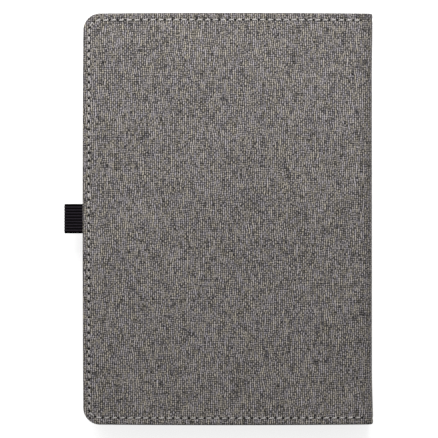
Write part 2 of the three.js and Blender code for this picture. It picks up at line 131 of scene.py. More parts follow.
class FolioColours(bpy.types.PropertyGroup):
    pale_yarn: FloatVectorProperty(
        name="Pale yarn", description="Lightest yarn of the outer cloth", **COLOUR,
        default=(0.665, 0.602, 0.5))
    cool_yarn: FloatVectorProperty(
        name="Cool yarn", description="Pale yarn where it turns bluish", **COLOUR,
        default=(0.605, 0.563, 0.6))
    dark_yarn: FloatVectorProperty(
        name="Dark yarn", description="Darkest yarn of the outer cloth", **COLOUR,
        default=(0.012, 0.011, 0.012))
    thread: FloatVectorProperty(
        name="Thread", description="Sewing thread", **COLOUR,
        default=(0.86, 0.83, 0.8))
    lining: FloatVectorProperty(
        name="Lining", description="Brushed microfibre inside the folio", **COLOUR,
        default=(0.045, 0.044, 0.046))
    elastic: FloatVectorProperty(
        name="Elastic", description="Ribbed elastic tape", **COLOUR,
        default=(0.0125, 0.0105, 0.0135))
    keys: FloatVectorProperty(
        name="Keys", description="Key caps", **COLOUR,
        default=(0.021, 0.021, 0.023))
    shell: FloatVectorProperty(
        name="Shell", description="Keyboard plate and base", **COLOUR,
        default=(0.014, 0.014, 0.0155))


class KeyboardSizes(bpy.types.PropertyGroup):
    cap_corner: FloatProperty(
        name="Cap corner", description="Corner radius of a key cap", default=1.5 * MM,
        unit="LENGTH")
    legend_height: FloatProperty(
        name="Legend height", description="Size of the letters on the caps", default=4.4 * MM,
        unit="LENGTH")
    rib_count: IntProperty(
        name="Elastic cords", description="Cords across the pen loop's tape", default=9, min=4)


# Shader maths


class Signal:
    """A socket's output. Arithmetic on it adds the Math nodes that work it out."""

    def __init__(self, finish, socket):
        self.finish = finish
        self.socket = socket

    def _math(self, operation, first, second=None, third=None):
        values = [v for v in (first, second, third) if v is not None]
        inputs = dict(enumerate(values))
        return self.finish.node("ShaderNodeMath", {"operation": operation}, inputs)

    def __add__(self, other):
        return self._math("ADD", self, other)

    __radd__ = __add__

    def __sub__(self, other):
        return self._math("SUBTRACT", self, other)

    def __rsub__(self, other):
        return self._math("SUBTRACT", other, self)

    def __mul__(self, other):
        return self._math("MULTIPLY", self, other)

    __rmul__ = __mul__

    def __truediv__(self, other):
        return self._math("DIVIDE", self, other)

    def __rtruediv__(self, other):
        return self._math("DIVIDE", other, self)

    def __neg__(self):
        return self._math("MULTIPLY", self, -1.0)

    def __pow__(self, other):
        return self._math("POWER", self, other)

    def function(self, operation, second=None, third=None):
        return self._math(operation, self, second, third)

    def wave(self, length):
        """A sine with the given wavelength."""
        return (self * (2 * math.pi / length)).function("SINE")

    def clamp(self):
        return self.finish.node("ShaderNodeClamp", {}, {"Value": self})

    def steps(self, low, high):
        """0 below low and 1 above high, with a smooth ramp between."""
        settings = {"interpolation_type": "SMOOTHSTEP"}
        return self.finish.node("ShaderNodeMapRange", settings,
                                {"Value": self, "From Min": low, "From Max": high})


class Finish:
    """A material and the one method that adds nodes to it."""

    def __init__(self, name):
        self.material = bpy.data.materials.new(name)
        self.material.use_nodes = True
        self.tree = self.material.node_tree
        self.tree.nodes.clear()

    def node(self, kind, settings=None, inputs=None, output=0):
        made = self.tree.nodes.new(kind)
        for name, value in (settings or {}).items():
            setattr(made, name, value)
        for name, value in (inputs or {}).items():
            if isinstance(value, Signal):
                self.tree.links.new(value.socket, made.inputs[name])
            else:
                made.inputs[name].default_value = value
        return Signal(self, made.outputs[output])

    def noise(self, vector, scale, detail=2.0, roughness=0.5, dimensions="3D"):
        inputs = {"Vector": vector, "Scale": scale, "Detail": detail, "Roughness": roughness}
        return self.node("ShaderNodeTexNoise", {"noise_dimensions": dimensions}, inputs)

    def point(self, x=0.0, y=0.0, z=0.0):
        return self.node("ShaderNodeCombineXYZ", {}, {"X": x, "Y": y, "Z": z})

    def split(self, vector):
        made = self.node("ShaderNodeSeparateXYZ", {}, {"Vector": vector})
        return [Signal(self, made.socket.node.outputs[k]) for k in range(3)]

    def place(self):
        return self.node("ShaderNodeTexCoord", output="Object")

    def along(self, uv_map):
        return self.node("ShaderNodeUVMap", {"uv_map": uv_map})

    def mix(self, factor, low, high):
        """A colour between low and high. Each is a signal or three numbers."""
        colour = [v if isinstance(v, Signal) else (*v, 1.0) for v in (low, high)]
        return self.node("ShaderNodeMix", {"data_type": "RGBA"},
                         {0: factor, 6: colour[0], 7: colour[1]}, output=2)

    def bump(self, height, distance, strength=1.0):
        return self.node("ShaderNodeBump", {},
                         {"Height": height, "Distance": distance, "Strength": strength})

    def surface(self, **inputs):
        """The finished shader, with spaces for the underscores in the sockets' names."""
        named = {name.replace("_", " "): value for name, value in inputs.items()}
        named = {name: (*v, 1.0) if isinstance(v, (tuple, list)) and len(v) == 3 else v
                 for name, v in named.items()}
        shader = self.node("ShaderNodeBsdfPrincipled", {}, named)
        self.node_output(shader)
        return self.material

    def node_output(self, shader):
        made = self.tree.nodes.new("ShaderNodeOutputMaterial")
        self.tree.links.new(shader.socket, made.inputs["Surface"])


MADE = {}


def finish(make):
    """Makes a material once and gives it again after that."""
    if make.__name__ not in MADE:
        MADE[make.__name__] = make(Finish(make.__name__))
    return MADE[make.__name__]


SHADOW = (0.004, 0.004, 0.004)
FIRST_YARN = 400.0


def outer_cloth(f):
    """Heathered plain weave: pale and dark yarns that change tone along their length, painted shade
    across each yarn's round and in the gaps between them, a needle hole painted in shadow at each
    end of every stitch, and painted shade along the edges, strongest at the bottom end, and towards
    the fold. The yarns are numbered from FIRST_YARN at the folio's middle, so that no number is
    negative."""
    sizes = bpy.context.scene.folio_sizes
    colours = bpy.context.scene.folio_colours
    across, along, _ = f.split(f.along("Weave"))
    drift = f.noise(f.along("Weave"), 85.0, 2.0, 0.6)
    sway = f.noise(f.along("Weave"), 110.0, 2.0, 0.6, "2D")
    u = across / sizes.yarn_pitch + FIRST_YARN + drift * 2.6
    v = along / sizes.yarn_pitch + FIRST_YARN + sway * 2.2
    column = u.function("FLOOR")
    row = v.function("FLOOR")
    warp_tone = f.noise(f.point(column * 7.31, v * 0.3, 1.5), 1.0, 3.0, 0.8)
    weft_tone = f.noise(f.point(u * 0.55, row * 9.17, 4.5), 1.0, 3.0, 0.8)
    crossing = (v * math.pi + column * math.pi).function("SINE")
    fibre = f.noise(f.point(u * 2.3, v * 2.3, 2.2), 1.0, 1.0, 0.5)
    lift = crossing * 0.8 + (warp_tone - 0.38) * 2.4 + (fibre - 0.5) * 1.6
    over = lift.steps(-0.4, 0.4)
    warp_round = 1.0 - ((u - column) * 2.0 - 1.0) ** 2.0
    weft_round = 1.0 - ((v - row) * 2.0 - 1.0) ** 2.0
    # The yarns' rounds darken them towards their sides: painted shade across each yarn and in the
    # gaps between yarns.
    warp = ((warp_tone - 0.5) * 4.6 + 1.25) * (0.02 + 0.98 * warp_round ** 2.2)
    weft = ((weft_tone - 0.5) * 3.2 + 0.75) * (0.1 + 0.9 * weft_round ** 1.5)
    tone = warp * (0.4 + 0.6 * weft_round) * over + weft * (0.5 + 0.5 * warp_round) * (1.0 - over)
    patch = f.noise(f.point(u * 0.02, v * 0.02, 7.5), 1.0, 2.0, 0.5)
    tone = (tone + (fibre - 0.5) * 1.1 + (patch - 0.5) * 0.1).clamp()
    tint = f.noise(f.point(column * 3.7, v * 0.4, 9.5), 1.0, 1.0, 0.5)
    pale = f.mix(((tint - 0.5) * 3.0 + 0.5).clamp(), colours.pale_yarn, colours.cool_yarn)
    colour = f.mix(tone ** 1.7, colours.dark_yarn, pale)
    run, inset, _ = f.split(f.along("Seam"))
    step = (run - sizes.first_stitch) / sizes.stitch_pitch
    beside = (step - (step + 0.5).function("FLOOR")) * sizes.stitch_pitch
    off = inset ** 2.0 + beside ** 2.0
    hole = 1.0 - (off ** 0.5).steps(0.5 * MM, 0.95 * MM)
    # Painted shade on the edges: the two ends, more at the bottom end, the free edge, and towards
    # the fold at the spine.
    edge_shade = along.function("ABSOLUTE").steps(HALF - 1.1 * MM, HALF + 0.1 * MM) * 0.5
    edge_shade = edge_shade + (-along).steps(HALF - 1.2 * MM, HALF + 0.1 * MM) * 0.45
    free_side_shade = (-across).steps(-FREE_X - 0.9 * MM, -FREE_X + 0.1 * MM) * 0.4
    edge_shade = edge_shade.function("MAXIMUM", free_side_shade)
    painted_shade = (edge_shade + across.steps(86 * MM, 97 * MM) * 0.3).clamp()
    colour = f.mix(painted_shade, colour, SHADOW)
    colour = f.mix(hole * 0.97, colour, SHADOW)
    height = warp_round * over + weft_round * (1.0 - over) - hole * 1.5
    return f.surface(Base_Color=colour, Roughness=0.93, Specular_IOR_Level=0.25,
                     Sheen_Weight=0.15, Sheen_Roughness=0.6,
                     Normal=f.bump(height, 0.16 * MM, 0.7))


def sewing_thread(f):
    """Twisted thread: fine slanting plies in its tone and relief."""
    x, y, z = f.split(f.place())
    colours = bpy.context.scene.folio_colours
    ply = (x + y + z * 2.0).wave(0.55 * MM)
    shade = f.noise(f.place(), 900.0, 2.0)
    tone = (0.35 + ply * 0.2 + (shade - 0.5) * 0.9).clamp()
    colour = f.mix(tone, colours.thread, (0.3, 0.28, 0.27))
    return f.surface(Base_Color=colour, Roughness=0.6, Normal=f.bump(ply, 0.05 * MM))


def microfibre(f):
    """Short brushed nap: soft blotches where it lies one way or the other, and fine grain."""
    colours = bpy.context.scene.folio_colours
    base = np.array(colours.lining)
    nap = f.noise(f.place(), 45.0, 3.0, 0.6)
    grain = f.noise(f.place(), 2600.0, 2.0, 0.7)
    colour = f.mix((nap - 0.35) * 2.0, tuple(base * 0.72), tuple(base * 1.35))
    colour = f.mix((grain - 0.5) * 1.6 + 0.3, colour, tuple(base * 1.9))
    return f.surface(Base_Color=colour, Roughness=0.95, Specular_IOR_Level=0.2, Sheen_Weight=0.35,
                     Sheen_Roughness=0.45, Normal=f.bump(grain + nap * 0.5, 0.12 * MM, 0.6))


def ribbed_elastic(f):
    """Elastic tape: painted shading of its ribs from its own map, pale on the cords and dark in the
    grooves between, and fine binding yarn over the cords."""
    colours = bpy.context.scene.folio_colours
    base = np.array(colours.elastic)
    along = f.split(f.along("Tape"))[0]
    cord = f.split(f.along("Cords"))[0]
    binding = along.wave(0.62 * MM)
    fuzz = f.noise(f.along("Tape"), 1900.0, 2.0, 0.6)
    # Painted shading of the ribs: dark in the grooves, pale on the cord tops.
    tone = (cord * (0.72 + binding * 0.12 + (fuzz - 0.5) * 0.9)).clamp()
    colour = f.mix(tone ** 1.4, tuple(base * 0.03), tuple(base * 4.2))
    return f.surface(Base_Color=colour, Roughness=0.9, Specular_IOR_Level=0.04,
                     Normal=f.bump(binding * 0.5 + fuzz, 0.05 * MM, 0.5))


def woven_tape(f):
    """Twill binding tape: fine diagonal ribs."""
    x, y, _ = f.split(f.place())
    rib = (x * 0.7 + y).wave(0.8 * MM)
    fuzz = f.noise(f.place(), 2200.0, 2.0)
    colour = f.mix((0.5 + rib * 0.3 + (fuzz - 0.5)).clamp(), (0.012, 0.012, 0.013),
                   (0.045, 0.044, 0.046))
    return f.surface(Base_Color=colour, Roughness=0.88, Normal=f.bump(rib, 0.08 * MM, 0.6))


def grained_plastic(f, base, roughness, gloss=0.4):
    """Moulded plastic: fine spark-eroded grain, faint flow marks and a slight polish."""
    grain = f.noise(f.place(), 5200.0, 2.0, 0.6)
    flow = f.noise(f.place(), 60.0, 3.0, 0.55)
    base = np.array(base)
    colour = f.mix((flow - 0.3) * 1.6, tuple(base * 0.86), tuple(base * 1.18))
    rough = roughness + (flow - 0.5) * 0.14 + (grain - 0.5) * 0.12
    return f.surface(Base_Color=colour, Roughness=rough, Specular_IOR_Level=gloss,
                     Normal=f.bump(grain, 0.03 * MM, 0.5))


def shell_plastic(f):
    """Satin body of the keyboard."""
    return grained_plastic(f, bpy.context.scene.folio_colours.shell, 0.5)


def key_plastic(f):
    """Slightly lighter and finer than the shell."""
    return grained_plastic(f, bpy.context.scene.folio_colours.keys, 0.56)


def mottled(f, scale, octaves, low, high, relief=None, gain=1.0, offset=0.0, **shader):
    """One noise runs the colour from low to high and, where relief gives a distance and a
    strength, lifts the surface too."""
    grain = f.noise(f.place(), scale, *octaves)
    if relief:
        shader["Normal"] = f.bump(grain, relief[0] * MM, relief[1])
    return f.surface(Base_Color=f.mix((grain - offset) * gain, low, high), **shader)


def legend_ink(f):
    """Printed legends, a little uneven."""
    return mottled(f, 1800.0, (2.0,), (0.5, 0.5, 0.5), (0.82, 0.82, 0.82), Roughness=0.5)


def black_rubber(f):
    """Matt rubber with a fine moulded grain."""
    return mottled(f, 3000.0, (3.0, 0.65), (0.012, 0.012, 0.012), (0.03, 0.03, 0.03),
                   (0.05, 0.6), Roughness=0.86)


def grey_board(f):
    """Pressed paper board with fibres."""
    return mottled(f, 700.0, (4.0, 0.7), (0.27, 0.22, 0.16), (0.52, 0.46, 0.36), (0.1, 0.5),
                   gain=1.8, offset=0.25, Roughness=0.92)


def silicone(f):
    """Cloudy grey dome sheet."""
    return mottled(f, 120.0, (3.0,), (0.42, 0.44, 0.46), (0.58, 0.6, 0.62), (0.05, 0.4),
                   Roughness=0.5)


def foil_pouch(f):
    """Crinkled aluminium laminate."""
    return mottled(f, 260.0, (4.0, 0.6), (0.4, 0.41, 0.43), (0.62, 0.63, 0.65), (0.25, 0.5),
                   Metallic=0.8, Roughness=0.34)


def clear_lens(f):
    """Diffusing light window."""
    return mottled(f, 900.0, (2.0,), (0.7, 0.75, 0.8), (0.85, 0.88, 0.9), Roughness=0.18,
                   Transmission_Weight=0.4, IOR=1.49)


def pale_floor(f):
    """Even, nearly white floor."""
    return mottled(f, 3.0, (2.0,), (0.93, 0.93, 0.93), (0.955, 0.955, 0.955), Roughness=0.9,
                   Specular_IOR_Level=0.1, Emission_Color=(1.0, 1.0, 1.0), Emission_Strength=0.7)


def plated_metal(f):
    """Nickel plate with fine brushing along Y."""
    x, y, z = f.split(f.place())
    brush = f.noise(f.point(x * 9000.0, y * 300.0, z * 9000.0), 1.0, 2.0)
    return f.surface(Base_Color=f.mix(brush, (0.48, 0.48, 0.5), (0.68, 0.68, 0.69)), Metallic=1.0,
                     Roughness=0.24 + brush * 0.18, Normal=f.bump(brush, 0.01 * MM, 0.4))


def printed_film(f):
    """Amber film with silver tracks across it."""
    x = f.split(f.place())[0]
    track = x.wave(4.2 * MM).steps(0.55, 0.75)
    return f.surface(Base_Color=f.mix(track, (0.55, 0.42, 0.2), (0.6, 0.6, 0.58)), Roughness=0.35)


def circuit_green(f):
    """Solder mask over copper tracks."""
    x, y, _ = f.split(f.place())
    track = (x.wave(1.6 * MM) + y.wave(5.3 * MM)).steps(0.7, 0.9)
    colour = f.mix(track, (0.01, 0.09, 0.035), (0.03, 0.2, 0.07))
    return f.surface(Base_Color=colour, Roughness=0.38, Normal=f.bump(track, 0.03 * MM))


# Mesh making


def smooth(t):
    t = np.clip(t, 0.0, 1.0)
    return t * t * (3.0 - 2.0 * t)


def linked(name, data):
    made = bpy.data.objects.new(name, data)
    bpy.context.scene.collection.objects.link(made)
    return made


def evaluated(piece):
    """A new mesh of what the object's data and modifiers give."""
    bpy.context.view_layer.update()
    graph = bpy.context.evaluated_depsgraph_get()
    return bpy.data.meshes.new_from_object(piece.evaluated_get(graph), depsgraph=graph)


def run_along(points):
    """The distance run at each point of a line."""
    steps = np.linalg.norm(np.diff(points, axis=0), axis=1)
    return np.concatenate([[0.0], np.cumsum(steps)])


def tangents(path):
    along = np.gradient(path, axis=0)
    return along / np.linalg.norm(along, axis=1)[:, None]


class Patchwork:
    """A mesh made of grids of points. Each grid carries the maps of its corners."""

    def __init__(self, *maps):
        self.points = []
        self.faces = []
        self.maps = {name: [] for name in maps}
        self.count = 0

    def add(self, points, maps=None, flip=False, close_rows=False):
        """points is rows x columns x 3. Quads join neighbouring rows and columns."""
        rows, columns = points.shape[:2]
        index = self.count + np.arange(rows * columns).reshape(rows, columns)
        if close_rows:
            index = np.vstack([index, index[:1]])
        quads = np.stack([index[:-1, :-1], index[1:, :-1], index[1:, 1:], index[:-1, 1:]], axis=-1)
        quads = quads.reshape(-1, 4)
        if flip:
            quads = quads[:, ::-1]
        self.points.append(points.reshape(-1, 3))
        self.faces.append(quads)
        for name in self.maps:
            values = (maps or {}).get(name)
            if values is None:
                values = np.zeros((rows, columns, 2))
            self.maps[name].append(values.reshape(-1, 2))
        self.count += rows * columns
        return index

    def object(self, name, merge=0.004 * MM, shade=True):
        points = np.concatenate(self.points)
        faces = np.concatenate(self.faces)
        mesh = bpy.data.meshes.new(name)
        mesh.from_pydata(points.tolist(), [], faces.tolist())
        corners = np.empty(len(mesh.loops), np.int32)
        mesh.loops.foreach_get("vertex_index", corners)
        for label, values in self.maps.items():
            layer = mesh.uv_layers.new(name=label)
            flat = np.concatenate(values)[corners].astype(np.float32).ravel()
            layer.data.foreach_set("uv", flat)
        if merge:
            tidy = bmesh.new()
            tidy.from_mesh(mesh)
            bmesh.ops.remove_doubles(tidy, verts=tidy.verts, dist=merge)
            tidy.to_mesh(mesh)
            tidy.free()
        mesh.polygons.foreach_set("use_smooth", [shade] * len(mesh.polygons))
        return linked(name, mesh)


def thicken(piece, thickness):
    """Gives a sheet its thickness on its inner side, and applies it."""
    wall = piece.modifiers.new("Thickness", "SOLIDIFY")
    wall.thickness = thickness
    wall.offset = -1.0
    wall.use_even_offset = True
    mesh = evaluated(piece)
    piece.modifiers.clear()
    piece.data = mesh


def dress(piece, material):
    piece.data.materials.clear()
    piece.data.materials.append(finish(material))
    return piece


# The folio's own shape


def spaced(start, end, step):
    return np.linspace(start, end, max(2, int(round(abs(end - start) / step)) + 1))


def relaxed(points):
    """The folio's slight bow: an edge's ends lie in, and the spine draws in between its ends."""
    sizes = bpy.context.scene.folio_sizes
    out = points.copy()
    x, y = points[..., 0], points[..., 1]
    side = (x - MIDDLE_X) / REACH_X
    out[..., 1] = y * (1.0 - sizes.edge_bow / HALF * side ** 2)
    out[..., 0] = x + sizes.edge_bow * ((y / HALF) ** 2 - 0.7) * np.clip(-side, 0.0, 1.2) ** 3
    end = smooth((np.abs(y) - (HALF - 34 * MM)) / (30 * MM))
    lean = 1.0 + 0.25 * np.sign(-y)
    pull = sizes.spine_hollow * (end * lean * 0.62 - 0.38)
    out[..., 0] += pull * np.clip(side, 0.0, 1.2) ** 6
    return out


def seam_inset(normals):
    """The seam's distance from the edge, which turns from one value to another at a corner."""
    sizes = bpy.context.scene.folio_sizes
    across, along = normals[:, :1] ** 2, normals[:, 1:] ** 2
    return sizes.seam_inset_free * across + sizes.seam_inset_ends * along


def edge_path(step):
    """The inner rectangle's three sides from the spine round the free edge and back, as the points
    C and outward directions N. An edge point at inset d is C + (CORNER - d) N."""
    straight = spaced(HINGE_X, FREE_X + CORNER, step)
    rise = spaced(-(HALF - CORNER), HALF - CORNER, step)
    turn = np.linspace(0.0, math.pi / 2, TURN_STEPS)
    low = np.stack([straight, np.full_like(straight, -(HALF - CORNER))], -1)
    left = np.stack([np.full_like(rise, FREE_X + CORNER), rise], -1)
    high = np.stack([straight[::-1], np.full_like(straight, HALF - CORNER)], -1)
    arc = np.stack([-np.sin(turn), -np.cos(turn)], -1)
    back = np.stack([-np.cos(turn), np.sin(turn)], -1)
    centres = np.concatenate([
        low, np.repeat(low[-1:], TURN_STEPS, 0), left, np.repeat(left[-1:], TURN_STEPS, 0), high])
    normals = np.concatenate([
        np.tile([0.0, -1.0], (len(low), 1)), arc, np.tile([-1.0, 0.0], (len(left), 1)), back,
        np.tile([0.0, 1.0], (len(high), 1))])
    return centres, normals, straight[::-1], rise


def folio_sheet(name, profile, upper, step=2.5 * MM, flip=False, ripple=0.0):
    """One cover's sheet, the fold beside it and half the spine.
    profile lists (inset d, depth h) from the turned-in lip to the flat: a point of the cover is
    C + (CORNER - d) N at depth h under the outer face, and the fold carries the same section round
    an arc of radius FOLD - h and straight on down the spine."""
    d, h = np.array(profile).T * MM
    centres, normals, xs, ys = edge_path(step)
    travel = run_along(np.column_stack([d, h]))
    unrolled = d[-1] - (travel[-1] - travel)
    at = centres[:, None] + (CORNER - d)[None, :, None] * normals[:, None]
    weave = centres[:, None] + (CORNER - unrolled)[None, :, None] * normals[:, None]
    inset = seam_inset(normals)
    run_points = centres + (CORNER - inset) * normals
    run = run_along(run_points)
    seam = np.stack(np.broadcast_arrays(run[:, None], unrolled[None] - inset), -1)
    depth = np.broadcast_to(h, at.shape[:2])
    rim = np.dstack([at, depth])
    x, y = np.meshgrid(xs, ys, indexing="ij")
    far = np.full((*x.shape, 2), 0.05)
    flat = np.dstack([x, y, np.full_like(x, h[-1])])
    section_y = np.concatenate([-(HALF - d), ys[1:-1], (HALF - d)[::-1]])
    section_h = np.concatenate([h, np.full(len(ys) - 2, h[-1]), h[::-1]])
    section_v = np.concatenate([-(HALF - unrolled), ys[1:-1], (HALF - unrolled)[::-1]])
    angles = np.linspace(0.0, math.pi / 2, 13)
    middle = TOP / 2
    fall = spaced(0.0, SPINE_HIGH.z - middle, step)
    arc_x = HINGE_X + (FOLD - section_h) * np.sin(angles)[:, None]
    arc_h = TOP - (SPINE_HIGH.z + (FOLD - section_h) * np.cos(angles)[:, None])
    down_x = np.broadcast_to(SPINE_X - section_h, (len(fall), len(section_h)))
    down_h = np.broadcast_to((TOP - SPINE_HIGH.z + fall)[:, None], down_x.shape)
    wrap = np.dstack([
        np.vstack([arc_x, down_x[1:]]),
        np.broadcast_to(section_y, (len(angles) + len(fall) - 1, len(section_y))),
        np.vstack([arc_h, down_h[1:]])])
    arc_run = FOLD * angles
    wrap_u = HINGE_X + np.concatenate([arc_run, arc_run[-1] + fall[1:]])
    wrap_map = np.dstack(np.broadcast_arrays(wrap_u[:, None], section_v[None]))
    work = Patchwork("Weave", "Seam")

    def placed(grid):
        out = relaxed(grid)
        if ripple:
            wave = (np.sin(grid[..., 0] * 61.0 + 1.3 * np.sin(grid[..., 1] * 37.0))
                    * np.sin(grid[..., 1] * 43.0 + 0.7))
            out[..., 2] -= ripple * wave * (grid[..., 2] < 0.5 * MM)
        out[..., 2] = TOP - out[..., 2] if upper else np.maximum(out[..., 2], 0.0)
        return out

    turned = flip != upper
    work.add(placed(rim), {"Weave": weave, "Seam": seam}, flip=turned)
    work.add(placed(flat), {"Weave": flat[..., :2], "Seam": far}, flip=not turned)
    work.add(placed(wrap), {"Weave": wrap_map, "Seam": np.full((*wrap_map.shape[:2], 2), 0.05)},
             flip=not turned)
    return work.object(name)


OUTER_PROFILE = [
    (1.12, 2.84), (0.9, 2.96), (0.5, 2.95), (0.18, 2.74), (0.03, 2.4), (0.0, 2.0), (0.0, 1.4),
    (0.0, 1.0), (0.06, 0.68), (0.22, 0.38), (0.46, 0.16), (0.8, 0.03), (1.3, -0.04), (2.0, -0.06),
    (2.6, -0.01), (3.15, 0.09), (3.7, 0.2), (4.25, 0.09), (4.9, 0.0), (5.8, -0.03), (7.5, 0.0),
    (10.3, 0.0)]
LINING_PROFILE = [
    (1.2, 2.5), (1.2, 2.75), (1.3, 2.92), (1.6, 2.98), (2.4, 2.99), (4.0, 2.98), (10.3, 2.98)]


def finish_folio(piece, upper, thickness):
    thicken(piece, thickness)
    piece.data.set_sharp_from_angle(angle=math.radians(62.0))
    if upper:
        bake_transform(piece)
    else:
        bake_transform(piece)
    return piece


class OuterCloth(bpy.types.Operator):
    """Outer cloth of both covers, each with its fold and half of the spine."""

    bl_idname = "case.outer_cloth"
    bl_label = "Outer cloth"

    def execute(self, context):
        for name, upper, nodes in (
            ("keyboard_cover_cloth", True,
             ("keyboard_cover_fabric", "front_hinge_strip", "spine_fabric")),
            ("tablet_cover_cloth", False, ("tablet_cover_fabric", "back_hinge_strip")),
        ):
            piece = folio_sheet(name, OUTER_PROFILE, upper, ripple=RIPPLE)
            finish_folio(piece, upper, CLOTH)
            dress(piece, outer_cloth)
            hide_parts(*nodes)
        return {"FINISHED"}


class Linings(bpy.types.Operator):
    """Microfibre linings of both covers, running into the spine."""

    bl_idname = "case.linings"
    bl_label = "Linings"

    def execute(self, context):
        for name, upper, nodes in (
            ("keyboard_cover_microfibre", True, ("keyboard_cover_lining", "spine_lining")),
            ("tablet_cover_microfibre", False, ("tablet_cover_lining",)),
        ):
            piece = folio_sheet(name, LINING_PROFILE, upper, flip=True)
            finish_folio(piece, upper, NAP)
            dress(piece, microfibre)
            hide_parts(*nodes)
        return {"FINISHED"}


class Stitching(bpy.types.Operator):
    """The row of stitches along three edges of each cover."""

    bl_idname = "case.stitching"
    bl_label = "Stitching"

    def execute(self, context):
        for name, upper, body in (
            ("keyboard_cover_stitching", True, "keyboard_cover"),
            ("tablet_cover_stitching", False, "tablet_cover"),
        ):
            piece = stitch_row(name, upper, context.scene.folio_sizes)
            dress(piece, sewing_thread)
            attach(piece, body)
        return {"FINISHED"}


def stitch_row(name, upper, sizes):
    """Each stitch is a tube whose centre line rises and falls as half a sine between two needle
    holes, with an oval section that narrows to its ends."""
    centres, normals, _, _ = edge_path(0.5 * MM)
    line = centres + (CORNER - seam_inset(normals)) * normals
    run = run_along(line)
    total = run[-1]
    count = int((total - sizes.first_stitch) // sizes.stitch_pitch)
    first = sizes.first_stitch + np.arange(0, count)[:, None] * sizes.stitch_pitch
    station = np.linspace(0.0, 1.0, 9)[None]
    at = first + sizes.stitch_pitch * (0.16 + 0.68 * station)
    x = np.interp(at, run, line[:, 0])
    y = np.interp(at, run, line[:, 1])
    nx = np.interp(at, run, normals[:, 0])
    ny = np.interp(at, run, normals[:, 1])
    swing = np.sin(first * 3137.0) * 0.04 * MM
    slant = (station - 0.5) * 0.28 * MM + swing
    rise = np.sin(np.pi * station)
    width = sizes.thread_width / 2 * (0.5 + 0.5 * rise ** 0.7)
    around = np.linspace(0.0, 2 * math.pi, 9)[None, None]
    offset = slant[..., None] + width[..., None] * np.cos(around)
    depth = 0.17 * MM - 0.36 * MM * (rise ** 0.6)[..., None] - 0.2 * MM * np.sin(around)
    depth = depth * np.ones_like(offset) + 0.12 * MM * (1.0 - rise)[..., None]
    points = relaxed(np.stack([x[..., None] + nx[..., None] * offset,
                               y[..., None] + ny[..., None] * offset, depth], -1))
    points[..., 2] = TOP - points[..., 2] if upper else np.maximum(points[..., 2], 0.005 * MM)
    work = Patchwork()
    for stitch in points:
        work.add(stitch, flip=upper)
        for ring, turned in ((stitch[:1], upper), (stitch[-1:], not upper)):
            middle = np.broadcast_to(ring[:, :-1].mean(1, keepdims=True), ring.shape)
            work.add(np.concatenate([ring, middle]), flip=not turned)
    return work.object(name)


# Elastic tape


def tape_sheet(name, path, directions, width, cords, thickness, relief, splay=0.0):
    """A corded tape: the centre line's points with their outward directions, carried across the
    tape's width. The cords are cosine ridges along it, with a flat selvedge at each edge. splay
    slants both ends, so that one edge of the tape is the longer."""
    columns = cords * 8 + 9
    across = np.linspace(-0.5, 0.5, columns)
    pitch = 1.0 / (cords + 1.14)
    inside = smooth((pitch * cords / 2 + 0.2 * pitch - np.abs(across)) / (0.3 * pitch))
    wave = np.cos(2 * math.pi * (across / pitch + (cords - 1) / 2))
    ridge = (0.5 + 0.5 * wave) * inside
    edge = np.sqrt(np.clip(1.0 - (np.abs(across) * 2.0) ** 24, 0.0, 1.0))
    half = (thickness / 2 + relief * (ridge - 0.5)) * (0.15 + 0.85 * edge)
    side = np.cross(np.gradient(path, axis=0), directions)
    side /= np.linalg.norm(side, axis=1)[:, None]
    run = run_along(path)
    middle = path[:, None] + side[:, None] * (across * width)[None, :, None]
    lengthwise = np.linspace(-splay, splay, len(path))[:, None] * (across * width)[None]
    line = (path[-1] - path[0]) / max(np.linalg.norm(path[-1] - path[0]), 1e-9)
    middle = middle + lengthwise[..., None] * line
    tape = np.stack(np.broadcast_arrays(run[:, None], (across * width)[None]), -1)
    # The Cords map carries each cord's height, for painted shade in the grooves and painted light
    # on the cords.
    shade = np.stack(np.broadcast_arrays(ridge[None], np.zeros_like(run)[:, None]), -1)
    outer = middle + directions[:, None] * half[None, :, None]
    inner = middle - directions[:, None] * half[None, :, None]
    work = Patchwork("Tape", "Cords")

    def ring(front, back):
        return np.concatenate([front, back[:, ::-1], front[:, :1]], axis=1)

    work.add(ring(outer, inner), {"Tape": ring(tape, tape), "Cords": ring(shade, shade)})
    for row, turned in ((0, False), (-1, True)):
        work.add(np.stack([outer[row], inner[row]]), {"Tape": np.stack([tape[row], tape[row]])},
                 flip=turned)
    return work.object(name)


